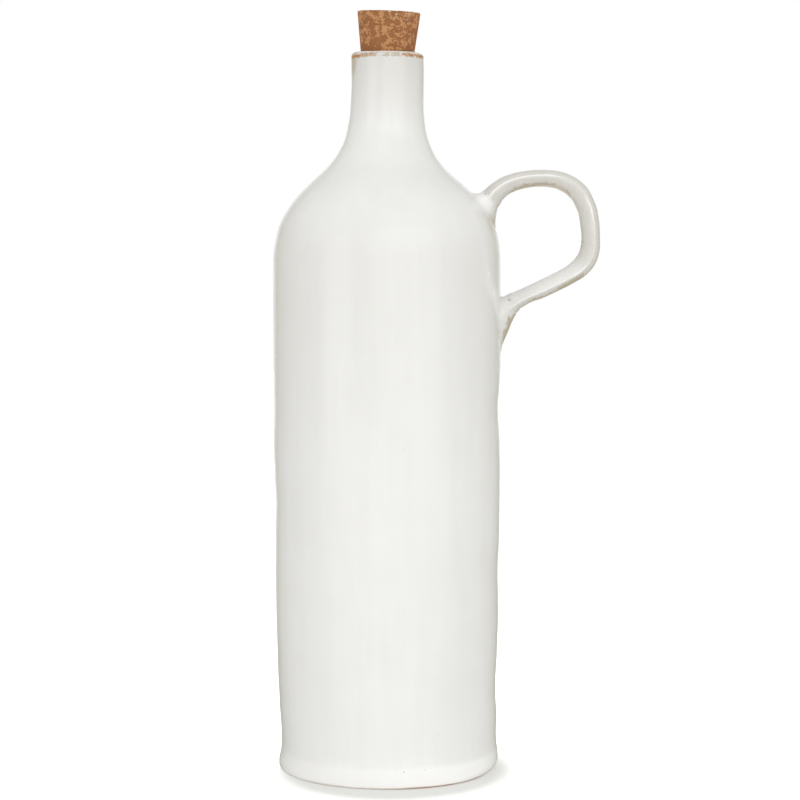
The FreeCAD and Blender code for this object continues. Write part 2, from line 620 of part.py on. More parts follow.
# Nothing is written unless every object is sound and each cut has taken clay away
for item in doc.Objects:
    if "Invalid" in item.State or "Error" in item.State:
        raise RuntimeError(f"{item.Name} failed: {item.State}")
for before, after in ((smoothed, hollow), (foot, recess)):
    if after.Shape.Volume >= before.Shape.Volume:
        raise RuntimeError(f"{after.Name} cut nothing")
os.makedirs("parts", exist_ok=True)
for body in (bottle, cork):
    if body.Shape.isNull() or not body.Shape.isValid() or len(body.Shape.Solids) != 1:
        raise RuntimeError(f"{body.Label} is not one sound solid")
    body.Shape.exportStep(f"parts/{body.Label}.step")
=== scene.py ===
import math

import bmesh
import bpy
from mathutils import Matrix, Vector, noise


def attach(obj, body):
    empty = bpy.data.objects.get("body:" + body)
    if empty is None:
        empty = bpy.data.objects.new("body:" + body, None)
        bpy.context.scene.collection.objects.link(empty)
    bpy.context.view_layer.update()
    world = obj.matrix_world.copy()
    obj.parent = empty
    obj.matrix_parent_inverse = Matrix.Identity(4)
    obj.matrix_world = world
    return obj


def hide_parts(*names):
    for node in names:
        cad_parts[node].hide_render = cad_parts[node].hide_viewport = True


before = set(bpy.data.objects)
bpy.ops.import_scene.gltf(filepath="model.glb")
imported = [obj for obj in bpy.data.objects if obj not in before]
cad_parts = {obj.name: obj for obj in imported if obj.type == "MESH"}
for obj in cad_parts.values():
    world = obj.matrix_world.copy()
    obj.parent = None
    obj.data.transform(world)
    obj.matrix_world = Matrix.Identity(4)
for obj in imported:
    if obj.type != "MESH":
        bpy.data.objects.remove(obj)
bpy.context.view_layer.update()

# Camera: the bottle is seen about level with its shoulder, from 86 cm away. The camera looks
# down by 3 degrees, and the bottle's axis stands a touch left of the picture's middle.
CAMERA_DISTANCE, CAMERA_HEIGHT = 0.8588, 0.1937
TILT_DOWN, TURN_RIGHT = 0.0531, 0.0058
bpy.ops.object.camera_add(
    location=(0, -CAMERA_DISTANCE, CAMERA_HEIGHT),
    rotation=(math.pi / 2 - TILT_DOWN, 0, -TURN_RIGHT),
)
camera = bpy.context.object
camera.name = "camera"
camera.data.lens = 96.29
camera.data.sensor_width = 36
bpy.context.scene.camera = camera


# Thrown body: white stoneware pulled up on the wheel to a thin wall, closed in at the
# shoulder and collared to a narrow neck. The foot is trimmed to a bare ring, and the
# lip is rounded with a sponge. Outside and inside are one skin round the clay.
MM = 0.001
# Heights in mm at which the outline passes from one curve to the next, outside and inside
FOOT_BEND, WALL_START, SHOULDER, SHOULDER_TOP = 8.5, 13.64, 203.2, 232.9
NECK, NARROWEST = 238.69, 263.5
INNER_BEND, INNER_SHOULDER_TOP, INNER_NECK = 14, 228.49, 236.73
# The foot, the inner corner, the shoulder and the neck are arcs: place of the centre from
# the axis, and radius, in mm
FOOT_ARC = 29.1
INNER_CORNER, CORNER_ARC = 33.37, 8
SHOULDER_CENTRE, SHOULDER_ARC, INNER_SHOULDER_ARC = 6.4, 39.48, 35
NECK_CENTRE, NECK_ARC, INNER_NECK_ARC = 47.6, 33, 37.05


def outside_radius(z):
    if z < FOOT_BEND:
        return 15.4 + math.sqrt(FOOT_ARC**2 - (z - 4) ** 2)
    if z < WALL_START:
        return 72.9 - math.sqrt(FOOT_ARC**2 - (z - 13) ** 2)
    if z < SHOULDER:
        return 45.88 - (SHOULDER - z) ** 2 / 17170
    if z < SHOULDER_TOP:
        return SHOULDER_CENTRE + math.sqrt(SHOULDER_ARC**2 - (z - SHOULDER) ** 2)
    if z < NECK:
        return 32.43 - (z - SHOULDER_TOP) * 1.14
    hollow = max(NARROWEST - z, 0)
    slow_taper = 0.33 * math.exp(-(((z - 259) / 6) ** 2))
    return NECK_CENTRE - math.sqrt(NECK_ARC**2 - hollow**2) + slow_taper


def inside_radius(z):
    if z < INNER_BEND:
        return INNER_CORNER + math.sqrt(CORNER_ARC**2 - (INNER_BEND - z) ** 2)
    if z < SHOULDER:
        return 41.4 - (SHOULDER - z) ** 2 / 17160
    if z < INNER_SHOULDER_TOP:
        return SHOULDER_CENTRE + math.sqrt(INNER_SHOULDER_ARC**2 - (z - SHOULDER) ** 2)
    if z < INNER_NECK:
        return 30.6 - (z - INNER_SHOULDER_TOP) * 1.046
    return NECK_CENTRE - math.sqrt(INNER_NECK_ARC**2 - max(NARROWEST - z, 0) ** 2)


def steps(start, end, count):
    return [start + (end - start) * i / count for i in range(1, count + 1)]


def draw_profile(name, outline):
    # One corner of a plane is kept and drawn on, point by point, in the XZ plane
    bpy.ops.object.select_all(action="DESELECT")
    bpy.ops.mesh.primitive_plane_add(size=0.01)
    piece = bpy.context.object
    piece.name = name
    bpy.ops.object.mode_set(mode="EDIT")
    bpy.ops.mesh.merge(type="CENTER")
    across, up = outline[0]
    bpy.ops.transform.translate(value=(across * MM, 0, up * MM))
    for r, z in outline[1:]:
        move = ((r - across) * MM, 0, (z - up) * MM)
        bpy.ops.mesh.extrude_region_move(TRANSFORM_OT_translate={"value": move})
        across, up = r, z
    return piece


def throw(piece, turns):
    # The profile is spun round the wheel's axis and its poles and seam are closed
    bpy.ops.mesh.select_all(action="SELECT")
    bpy.ops.mesh.spin(steps=turns, angle=2 * math.pi, center=(0, 0, 0), axis=(0, 0, 1))
    bpy.ops.mesh.select_all(action="SELECT")
    bpy.ops.mesh.remove_doubles(threshold=0.000005)
    bpy.ops.mesh.normals_make_consistent(inside=False)
    bpy.ops.object.mode_set(mode="OBJECT")


# Points of the outline as (radius, height) in mm, from the axis under the foot round the
# outside to the lip, and back down inside to the axis
underside = [(0, 0.9), (12, 0.9), (24, 0.9), (34, 0.9), (35.9, 0.85), (36.2, 0.7), (36.35, 0.35)]
foot_ring = [(36.6, 0.06), (37, 0), (40, 0), (42.6, 0), (43.2, 0.02), (43.7, 0.2), (44.05, 0.5)]
wall_heights = (
    steps(0.5, WALL_START, 16) + steps(WALL_START, SHOULDER, 66)
    + steps(SHOULDER, SHOULDER_TOP, 14) + steps(SHOULDER_TOP, NECK, 3)
    + steps(NECK, 268, 18) + steps(268, 284.65, 6)
)
outer_wall = [(outside_radius(z), z) for z in wall_heights]
lip = (
    [(13.35 + 1.25 * math.cos(a), 284.7 + 1.3 * math.sin(a)) for a in steps(0, math.pi / 2, 7)]
    + [(12.4, 286)]
    + [(11.75 - 1.2 * math.sin(a), 284.78 + 1.2 * math.cos(a)) for a in steps(0, math.pi / 2, 6)]
)
inner_heights = (
    steps(284, NARROWEST, 7) + steps(NARROWEST, INNER_NECK, 12)
    + steps(INNER_NECK, INNER_SHOULDER_TOP, 3) + steps(INNER_SHOULDER_TOP, SHOULDER, 9)
    + steps(SHOULDER, INNER_BEND, 24)
)
inner_wall = [(inside_radius(z), z) for z in inner_heights]
inner_floor = [
    (INNER_CORNER + CORNER_ARC * math.cos(a), INNER_BEND - CORNER_ARC * math.sin(a))
    for a in steps(0, math.pi / 2, 6)
] + [(22, 6), (11, 6), (0, 6)]
bottle = draw_profile(
    "glazed_bottle", underside + foot_ring + outer_wall + lip + inner_wall + inner_floor
)
throw(bottle, 120)

# Strap handle: a tongue of clay pulled by hand, bent over while soft, luted to the
# shoulder and wiped down the wall below. Its section is a lens with a soft ridge along
# each side, nearer to its outer face. It is thickest at the two joints.
STRAP_SIDES = 40
RINGS_PER_STATION = 4
# How much of the thickness lies outside and inside the ridge, and how far the section is
# lifted to set its middle on the strap's path
OUTER_SHARE, INNER_SHARE, SECTION_LIFT = 0.37, 0.63, 0.13
# Stations along the strap: place of its middle, heading in degrees, width and thickness
strap_stations = [
    (41.3, 228.7, 47, 16.8, 8.9), (43.0, 230.75, 42, 16.4, 8.1), (45.9, 233.15, 35, 16.0, 7.6),
    (50.3, 235.2, 19, 15.6, 7.2), (56.2, 236.5, 8, 15.3, 6.9), (62.0, 236.85, 0, 15.0, 6.8),
    (67.9, 236.2, -12, 14.9, 7.1), (72.6, 234.25, -27, 14.8, 7.5), (76.5, 230.95, -45, 14.7, 7.9),
    (79.1, 226.3, -62, 14.5, 7.8), (80.8, 219.8, -81, 14.4, 7.7), (81.35, 213.0, -90, 14.3, 7.5),
    (81.0, 208.1, -102, 14.2, 7.9), (79.4, 204.0, -124, 14.1, 8.1), (76.5, 200.7, -142, 14.0, 7.9),
    (72.9, 198.2, -151, 13.9, 7.3), (68.0, 195.6, -154, 13.7, 7.2), (62.2, 192.8, -154, 13.6, 7.2),
    (55.45, 189.95, -153, 13.8, 6.6), (52.3, 188.3, -150, 14.1, 7.1),
    (50.6, 187.4, -143, 14.4, 7.7),
]


def between(a, b, x):
    s = min(max((x - a) / (b - a), 0), 1)
    return s * s * (3 - 2 * s)


def along_curve(points, x):
    for (a, va), (b, vb) in zip(points, points[1:]):
        if x <= b:
            return va + (vb - va) * between(a, b, x)
    return points[-1][1]


def strap_ring(place, heading, width, thick):
    outward = Vector((-math.sin(heading), 0, math.cos(heading)))
    ring = []
    for i in range(STRAP_SIDES):
        a = 2 * math.pi * i / STRAP_SIDES
        # The two broad faces meet in a ridge along each side
        up = abs(math.sin(a)) ** 1.4
        up = OUTER_SHARE * up if math.sin(a) > 0 else -INNER_SHARE * up
        sideways = Vector((0, 1, 0)) * (math.cos(a) * width / 2)
        ring.append(place + sideways + outward * ((up + SECTION_LIFT) * thick))
    return ring


def walk_strap(stations, per_span):
    # Rings on a smooth curve through the stations
    rings = []
    for (xa, za, ha, wa, ta), (xb, zb, hb, wb, tb) in zip(stations, stations[1:]):
        start, end = Vector((xa, 0, za)), Vector((xb, 0, zb))
        reach = (end - start).length
        leave = reach * Vector((math.cos(math.radians(ha)), 0, math.sin(math.radians(ha))))
        reach_in = reach * Vector((math.cos(math.radians(hb)), 0, math.sin(math.radians(hb))))
        for i in range(per_span):
            s = i / per_span
            s2, s3 = s * s, s * s * s
            place = (
                start * (2 * s3 - 3 * s2 + 1) + leave * (s3 - 2 * s2 + s)
                + end * (3 * s2 - 2 * s3) + reach_in * (s3 - s2)
            )
            slope = (
                start * (6 * s2 - 6 * s) + leave * (3 * s2 - 4 * s + 1)
                + end * (6 * s - 6 * s2) + reach_in * (3 * s2 - 2 * s)
            )
            heading = math.atan2(slope.z, slope.x)
            soft = s2 * (3 - 2 * s)
            rings.append((place, heading, wa + (wb - wa) * soft, ta + (tb - ta) * soft))
    x, z, heading, width, thick = stations[-1]
    rings.append((Vector((x, 0, z)), math.radians(heading), width, thick))
    return rings


def wall_height_and_normal(p):
    # Distance above the thrown wall, in mm, and the wall's outward direction there
    r = math.hypot(p.x, p.y)
    round_axis = Vector((p.x / r, p.y / r, 0))
    if p.z > SHOULDER:
        across, up = r - SHOULDER_CENTRE, p.z - SHOULDER
        rho = math.hypot(across, up)
        return rho - SHOULDER_ARC, (round_axis * across + Vector((0, 0, up))) / rho
    return r - outside_radius(p.z), round_axis


def drop_to(p, along, height):
    # The point on a line through p that stands at this height above the wall
    low, high = -30.0, 30.0
    for _ in range(40):
        mid = (low + high) / 2
        if wall_height_and_normal(p + along * mid)[0] > height:
            low = mid
        else:
            high = mid
    return p + along * low


def joint_rings(ring, middle, into, side, top, bottom):
    # Rings that spread the strap's end on the wall. Each profile gives (spread, height)
    # in mm, for the sides, the top and the bottom of the joint.
    rings = []
    lowest = [wall_height_and_normal(p)[0] for p in ring]
    for (ss, sh), (ts, th), (bs, bh) in zip(side, top, bottom):
        laid = []
        for i, p in enumerate(ring):
            q = drop_to(p, into, 0)
            _, normal = wall_height_and_normal(q)
            away = q - drop_to(middle, into, 0)
            away -= normal * away.dot(normal)
            away.normalize()
            upward = Vector((0, 0, 1)) - normal * normal.z
            upward.normalize()
            rise = away.dot(upward)
            to_top, to_bottom = max(rise, 0) ** 2, max(-rise, 0) ** 2
            to_side = 1 - to_top - to_bottom
            spread = ss * to_side + ts * to_top + bs * to_bottom
            height = sh * to_side + th * to_top + bh * to_bottom
            height = lowest[i] = min(height, lowest[i] - 0.03)
            q = drop_to(p, into, height) + away * spread
            now, normal = wall_height_and_normal(q)
            laid.append(q + normal * (height - now))
        rings.append(laid)
    return rings


walked = walk_strap(strap_stations, RINGS_PER_STATION)
strap_rings = [strap_ring(*station) for station in walked]
# Upper joint: the shoulder's clay is pressed up against the strap's sides in a low collar,
# and the strap's underside is drawn down on the shoulder
root_place, root_heading = walked[0][:2]
into_root = -Vector((math.cos(root_heading), 0, math.sin(root_heading)))
root_side = [
    (0.0, 4.0), (0.15, 3.5), (0.4, 3.1), (0.75, 2.75), (1.15, 2.4), (1.6, 2.0), (2.05, 1.55),
    (2.5, 1.1), (2.95, 0.7), (3.5, 0.3), (4.2, 0.03), (5.2, -0.5),
]
root_top = [
    (0.0, 2.4), (0.1, 1.9), (0.2, 1.5), (0.35, 1.2), (0.55, 0.95), (0.8, 0.75), (1.1, 0.55),
    (1.5, 0.35), (1.9, 0.2), (2.3, 0.08), (2.8, 0.0), (3.5, -0.5),
]
root_bottom = [
    (0.0, 4.3), (0.25, 3.95), (0.55, 3.6), (0.9, 3.25), (1.3, 2.9), (1.8, 2.55), (2.3, 2.2),
    (2.9, 1.8), (3.6, 1.4), (4.4, 0.95), (5.4, 0.42), (7.0, -0.5),
]
root_rings = joint_rings(
    strap_rings[0], root_place, into_root, root_side, root_top, root_bottom
)[::-1]
# Lower joint: the strap's end is pressed into a pad on the wall and wiped down in a tail
end_place, end_heading = walked[-1][:2]
into_wall = Vector((math.cos(end_heading), 0, math.sin(end_heading)))
wipe_side = [
    (0.0, 4.2), (0.3, 3.5), (0.6, 3.0), (0.95, 2.7), (1.35, 2.4), (1.75, 2.05), (2.1, 1.65),
    (2.4, 1.2), (2.65, 0.7), (2.85, 0.3), (3.0, 0.05), (3.5, -0.5),
]
wipe_top = [
    (0.0, 2.2), (0.0, 1.9), (0.0, 1.65), (0.02, 1.5), (0.1, 1.3), (0.2, 1.1), (0.35, 0.9),
    (0.5, 0.7), (0.65, 0.5), (0.8, 0.3), (1.0, 0.0), (1.6, -0.5),
]
wipe_bottom = [
    (0.45, 6.2), (0.95, 5.54), (1.8, 4.7), (2.8, 3.94), (3.95, 3.4), (5.1, 2.84), (6.2, 2.3),
    (7.2, 1.76), (8.4, 1.2), (9.6, 0.68), (11.5, 0.2), (14.0, -0.5),
]
wipe_rings = joint_rings(
    strap_rings[-1], end_place, into_wall, wipe_side, wipe_top, wipe_bottom
)
all_rings = root_rings + strap_rings + wipe_rings

# Painted highlight along the ridges, by station: white where the glints stand
ridge_highlight = [
    (0, 0.45), (1, 0.85), (5.4, 0.9), (6.2, 0.1), (8.4, 0.1), (8.9, 1), (9.6, 1), (10.3, 0.15),
    (13.2, 0.15), (13.7, 1), (14.6, 1), (15.2, 0.1), (16, 0.5), (19, 0.5), (20, 0.2),
]
# Where the ridges take the faces' painted shade instead of a highlight, by station
ridge_shade = [
    (5.8, 0), (6.4, 1), (8.2, 1), (8.7, 0), (10.1, 0), (10.7, 1), (12.8, 1), (13.4, 0),
]
# Painted highlight on the face that looks up on the lower span, by station
upper_face_highlight = [(13.6, 0), (14.8, 0.22), (16, 0.38), (17, 0.3), (18, 0.22), (20, 0.1)]
# How far the glaze has gathered in a joint, with a painted highlight on it, by ring from the wall
# to the strap
joint_pool_and_highlight = [(0, 0), (2, 0.1), (4.5, 1), (7.5, 1), (11, 0.15), (12, 0)]


def strap_shade_and_highlight(n, turn):
    # How much painted shade and how much white ring n takes: the grey on the faces is painted
    # shade, the white along the ridges a painted highlight. The sine of the place round the strap,
    # turn, is 1 in the middle of the outer face, 0 on the ridges and -1 in the middle of the
    # inner face. White glaze gathers at the sides of both joints, with a painted highlight on it.
    on_strap = n - len(root_rings)
    past_end = on_strap + 1 - len(strap_rings)
    station = on_strap / RINGS_PER_STATION
    facet = min(abs(turn) * 5, 1)
    if on_strap < 0:
        white = along_curve(joint_pool_and_highlight, n) * (1 - turn * turn)
    elif past_end <= 0:
        white = (1 - facet) * along_curve(ridge_highlight, station)
        facet = max(facet, along_curve(ridge_shade, station))
        if turn < 0:
            white += facet * along_curve(upper_face_highlight, station)
    else:
        white = along_curve(joint_pool_and_highlight, len(all_rings) - 1 - n) * (1 - turn * turn) * 0.2
    # Along the lower span the inner face looks up and takes hardly any painted shade
    if turn < 0:
        facet *= 1 - 0.95 * between(12.5, 14.5, station)
    # The painted shade fades out over the first three rings of each joint
    in_joint = max(-on_strap, past_end, 0) / 3
    if on_strap < 0:
        facet *= max(1 - in_joint, between(-0.5, -0.9, turn))
    else:
        facet = max(facet * max(1 - in_joint, 0), 0.3 * min(in_joint, 1))
    return facet, white


bpy.ops.object.select_all(action="DESELECT")
bpy.ops.mesh.primitive_circle_add(vertices=STRAP_SIDES, radius=0.01, fill_type="NGON")
strap = bpy.context.object
strap.name = "strap"
bpy.ops.object.mode_set(mode="EDIT")
mesh = bmesh.from_edit_mesh(strap.data)
# Two values per point: painted shade on the strap's faces, and white for painted highlights and
# gathered glaze
for layer in ("strap_face_shade", "pooled_glaze_and_highlight"):
    mesh.verts.layers.float.new(layer)
mesh.verts.ensure_lookup_table()
ring = list(mesh.verts)
for v, p in zip(ring, all_rings[0]):
    v.co = p * MM
bmesh.update_edit_mesh(strap.data)
for n, points in enumerate(all_rings[1:], 1):
    bpy.ops.mesh.extrude_region_move()
    mesh = bmesh.from_edit_mesh(strap.data)
    face_shade_layer = mesh.verts.layers.float["strap_face_shade"]
    pool_and_highlight_layer = mesh.verts.layers.float["pooled_glaze_and_highlight"]
    ring = [next(e.other_vert(v) for e in v.link_edges if e.other_vert(v).select) for v in ring]
    for i, (v, p) in enumerate(zip(ring, points)):
        v.co = p * MM
        shade_and_white = strap_shade_and_highlight(n, math.sin(2 * math.pi * i / STRAP_SIDES))
        v[face_shade_layer], v[pool_and_highlight_layer] = shade_and_white
    bmesh.update_edit_mesh(strap.data)
bpy.ops.mesh.select_all(action="SELECT")
bpy.ops.mesh.normals_make_consistent(inside=False)
bpy.ops.object.mode_set(mode="OBJECT")

# The soft strap is luted on: from here on strap and body are one piece
bpy.ops.object.select_all(action="DESELECT")
strap.select_set(True)
bottle.select_set(True)
bpy.context.view_layer.objects.active = bottle
bpy.ops.object.join()
bpy.ops.object.shade_smooth()


# Hand work: the wall sways a little as it was thrown and is dented where it was gripped.
# The foot's edge was rubbed rounder on the handle's side with a sponge.
# Height, and how far the wall stands to the right there, on its left and on its right side
left_sway = [
    (0, 0.4), (3, 0.6), (6.5, 1.2), (16, 0.85), (26, 0.4), (42, 0), (62, -0.25), (74, -0.3),
    (95, 0), (108, 0.35), (118, 0), (130, -0.3), (145, 0.05), (200, 0.1), (210, 0.15),
    (219, -0.2), (229, -0.1), (239, -0.65), (256, -0.3), (263, 0.05), (276, 0.65), (286, 0.6),
]
right_sway = [
    (0, 0), (20, 0), (33, -0.75), (48, -0.3), (60, -0.05), (69, -0.2), (79, -0.55), (95, -0.1),
    (120, -0.1), (130, -0.4), (145, -1.2), (159, -0.5), (172, -0.4), (197, -0.7), (205, -0.8),
    (216, -0.4), (226, -0.7), (237, -1.1), (244, -0.9), (250, -0.5), (268, -0.45), (279, -0.4),
    (286, -0.6),
]
for v in bottle.data.vertices:
    x, y, z = v.co / MM
    r = math.hypot(x, y)
    # The strap keeps its shape: the sway dies out from the wall to 4 mm above it
    off_wall = wall_height_and_normal(v.co / MM)[0] if x > 27 and 150 < z < 250 else 0
    loose = 1 - between(0.5, 4, off_wall)
    to_right = min(max(x / 45, -1), 1) * 0.5 + 0.5
    sway = along_curve(left_sway, z) * (1 - to_right) + along_curve(right_sway, z) * to_right
    if z < 3.2 and r > 38:
        worn = (0.15 + 2.4 * max(x / r, 0) ** 4) * (1 - z / 3.2) ** 2 * between(38, 43, r)
        x, y = x * (1 - worn / r), y * (1 - worn / r)
    # The lip stands a little higher on the left
    z += 0.45 * between(279, 286, z) * between(4, 14, -x)
    v.co = Vector((x + sway * loose, y, z)) * MM


# Glaze: an off-white tin glaze, satin to glossy, poured thick. It breaks to tan where it
# runs thin over the lip and the strap's lower edges. The foot ring is left bare.
def thin_on_strap(p, n):
    # How thin the glaze ran on the strap: wherever it faces down
    if p.x < 20 or p.z < 150 or wall_height_and_normal(p)[0] < 0.6:
        return 0.0
    amount = between(-0.66, -0.98, n.z)
    # Down the inside of the upright
    if p.x > 70 and 203 < p.z < 222:
        amount = max(amount, 0.55 * between(-0.84, -0.99, n.x))
    # In the middle of the underside, past the arch's top and at the lower bend
    if p.x > 64 and p.z > 225:
        past_top = 1 - between(71.5, 75, p.x)
        inner = past_top * between(5.4, 4.0, abs(p.y)) * between(-0.3, -0.6, n.z)
        amount = max(amount, 0.85 * inner)
    if p.x > 60 and p.z < 205:
        at_bend = between(65, 71, p.x) * (1 - between(76, 81, p.x))
        inner = at_bend * between(7.0, 5.7, abs(p.y)) * between(-0.2, -0.5, n.z)
        amount = max(amount, inner)
    # Below the lower joint
    if p.z < 185:
        amount = max(amount, between(0.68, 0.9, n.x) * between(-0.05, -0.25, n.z))
    return amount


def lay_mask(piece, name, amounts):
    mask = piece.data.attributes.new(name, "FLOAT", "POINT")
    mask.data.foreach_set("value", amounts)


thin, bare = [], []
for v in bottle.data.vertices:
    p = v.co / MM
    thin.append(thin_on_strap(p, v.normal))
    under_foot = p.z < 0.01 or (p.z < 1.2 and math.hypot(p.x, p.y) < 37.2)
    bare.append(1.0 if under_foot else 0.0)
lay_mask(bottle, "tan_patches", thin)
lay_mask(bottle, "bare_clay", bare)


def add_node(tree, kind, **settings):
    node = tree.nodes.new(kind)
    for name, value in settings.items():
        setattr(node, name, value)
    return node


def feed(tree, source, node, socket):
    target = node.inputs[socket]
    if isinstance(source, (int, float, tuple)):
        target.default_value = source
    else:
        tree.links.new(source, target)


def calc(tree, operation, a, b=None):
    node = add_node(tree, "ShaderNodeMath", operation=operation)
    feed(tree, a, node, 0)
    if b is not None:
        feed(tree, b, node, 1)
    return node.outputs[0]


def ramp(tree, value, low, high, to_low=0.0, to_high=1.0, smooth=True):
    node = add_node(tree, "ShaderNodeMapRange")
    node.interpolation_type = "SMOOTHSTEP" if smooth else "LINEAR"
    feed(tree, value, node, "Value")
    node.inputs["From Min"].default_value = low
    node.inputs["From Max"].default_value = high
    node.inputs["To Min"].default_value = to_low
    node.inputs["To Max"].default_value = to_high
    return node.outputs["Result"]


def spread(tree, value, low, high):
    # Noise lies for the most part between 0.3 and 0.7
    return ramp(tree, value, 0.3, 0.7, low, high, smooth=False)


def cloud(tree, vector, scale, detail=2.0, roughness=0.5):
    node = add_node(tree, "ShaderNodeTexNoise")
    feed(tree, vector, node, "Vector")
    node.inputs["Scale"].default_value = scale
    node.inputs["Detail"].default_value = detail
    node.inputs["Roughness"].default_value = roughness
    return node.outputs["Fac"]


def stretch(tree, vector, factors, shift=(0, 0, 0)):
    node = add_node(tree, "ShaderNodeMapping")
    feed(tree, vector, node, "Vector")
    node.inputs["Scale"].default_value = factors
    node.inputs["Location"].default_value = shift
    return node.outputs["Vector"]


def tint(tree, amount, base, over):
    node = add_node(tree, "ShaderNodeMix", data_type="RGBA")
    feed(tree, amount, node, "Factor")
    for name, source in (("A", base), ("B", over)):
        socket = next(s for s in node.inputs if s.name == name and s.type == "RGBA")
        if isinstance(source, tuple):
            socket.default_value = source
        else:
            tree.links.new(source, socket)
    return next(s for s in node.outputs if s.type == "RGBA")


def painted(tree, name):
    # A value that was laid on the mesh's points
    return add_node(tree, "ShaderNodeAttribute", attribute_name=name).outputs["Fac"]


def split(tree, vector):
    node = add_node(tree, "ShaderNodeSeparateXYZ")
    feed(tree, vector, node, 0)
    return node.outputs


def vector_calc(tree, operation, a, b=None):
    node = add_node(tree, "ShaderNodeVectorMath", operation=operation)
    feed(tree, a, node, 0)
    if b is not None:
        feed(tree, b, node, 1)
    return node


def bump_from(tree, relief, strength, distance):
    node = add_node(tree, "ShaderNodeBump")
    node.inputs["Strength"].default_value = strength
    node.inputs["Distance"].default_value = distance
    feed(tree, relief, node, "Height")
    return node.outputs["Normal"]


def new_finish(name):
    finish = bpy.data.materials.new(name)
    finish.use_nodes = True
    tree = finish.node_tree
    return finish, tree, tree.nodes["Principled BSDF"]


def in_mm(tree):
    # The place on the piece, in mm
    place = add_node(tree, "ShaderNodeTexCoord").outputs["Object"]
    return stretch(tree, place, (1000, 1000, 1000))


glaze, g, shader = new_finish("off_white_glaze")
here = in_mm(g)
across, from_front, height = split(g, here)
thin_here, bare_here = painted(g, "tan_patches"), painted(g, "bare_clay")
# Painted shade on the strap's faces, and painted highlights with gathered glaze
face_shade_here, pool_and_highlight_here = painted(g, "strap_face_shade"), painted(g, "pooled_glaze_and_highlight")

# Where the glaze lies thicker and thinner: clouds, and streaks where it ran down
clouds = cloud(g, here, 0.045, 3.0, 0.55)
runs = cloud(g, stretch(g, here, (1, 1, 0.07)), 0.22, 3.0, 0.6)
depth = calc(g, "ADD", spread(g, clouds, -0.5, 0.5), spread(g, runs, -0.5, 0.5))
body_colour = tint(
    g, ramp(g, depth, -0.9, 0.9), (0.845, 0.841, 0.813, 1), (0.872, 0.870, 0.850, 1)
)
# Whiter above the foot, more so on the handle's side: painted light from the floor's bounce,
# lifting the shade there
foot_light_side = ramp(g, across, -5, 28, 0.45, 1.0)
foot_bounce_light = calc(g, "MULTIPLY", ramp(g, height, 9.5, 6.5), foot_light_side)
body_colour = tint(g, foot_bounce_light, body_colour, (0.955, 0.952, 0.93, 1))
# Greyer from the middle of the wall up towards the shoulder, and thinner and greyer up the neck
below_shoulder = ramp(g, height, 95, 200, 0, 0.33)
upper_grey = calc(g, "MULTIPLY", below_shoulder, ramp(g, height, 203, 232, 1, 0.1))
body_colour = tint(g, upper_grey, body_colour, (0.725, 0.716, 0.682, 1))
neck_at = calc(g, "ADD", height, spread(g, clouds, -4, 4))
neck_thin = ramp(g, neck_at, 256, 284, smooth=False)
body_colour = tint(g, neck_thin, body_colour, (0.72, 0.711, 0.675, 1))
# Painted shade greys the strap's faces, painted highlights whiten its ridges, and its joints are
# whiter where glaze gathered, with a painted highlight on them
face_shade_cloud = ramp(g, cloud(g, here, 0.5, 3.0, 0.6), 0.3, 0.7, 0.75, 1.0)
face_shade_depth = calc(g, "MULTIPLY", face_shade_here, face_shade_cloud)
body_colour = tint(g, face_shade_depth, body_colour, (0.71, 0.695, 0.642, 1))
pool_and_highlight_depth = calc(g, "MULTIPLY", pool_and_highlight_here, 0.9)
body_colour = tint(g, pool_and_highlight_depth, body_colour, (0.99, 0.985, 0.965, 1))

# Thin glaze on the lip's outer edge, tan in the middle and rust towards the sides
lip_wave = cloud(g, stretch(g, here, (1, 1, 0.1)), 0.5, 2.0, 0.5)
lip_at = calc(g, "ADD", height, spread(g, lip_wave, -0.22, 0.22))
lip_band = calc(
    g, "MULTIPLY", ramp(g, lip_at, 283.55, 283.85), ramp(g, lip_at, 285.5, 285.2)
)
lip_noise = cloud(g, stretch(g, here, (1, 1, 0.35), (4.3, 0, 0)), 0.33, 3.0, 0.6)
lip_tan = calc(g, "MULTIPLY", lip_band, ramp(g, lip_noise, 0.41, 0.48, 0.08, 0.92))
rust_band = calc(
    g, "MULTIPLY", ramp(g, lip_at, 283.9, 284.15), ramp(g, lip_at, 285.15, 284.9)
)
outer_side = ramp(g, calc(g, "ABSOLUTE", across), 2.0, 8.0, -0.16, 0.05)
rust_noise = cloud(g, stretch(g, here, (1, 1, 1.4)), 0.9, 3.0, 0.65)
rust_noise = calc(g, "ADD", rust_noise, outer_side)
lip_rust = calc(g, "MULTIPLY", rust_band, ramp(g, rust_noise, 0.46, 0.54))

# Thin glaze where the strap faces down, with a broken edge
broken_edge = spread(g, cloud(g, here, 0.8, 4.0, 0.7), -0.45, 0.45)
tan_patches = ramp(g, calc(g, "ADD", thin_here, broken_edge), 0.5, 0.7)
tan_patches = calc(g, "MULTIPLY", tan_patches, ramp(g, thin_here, 0.02, 0.2))
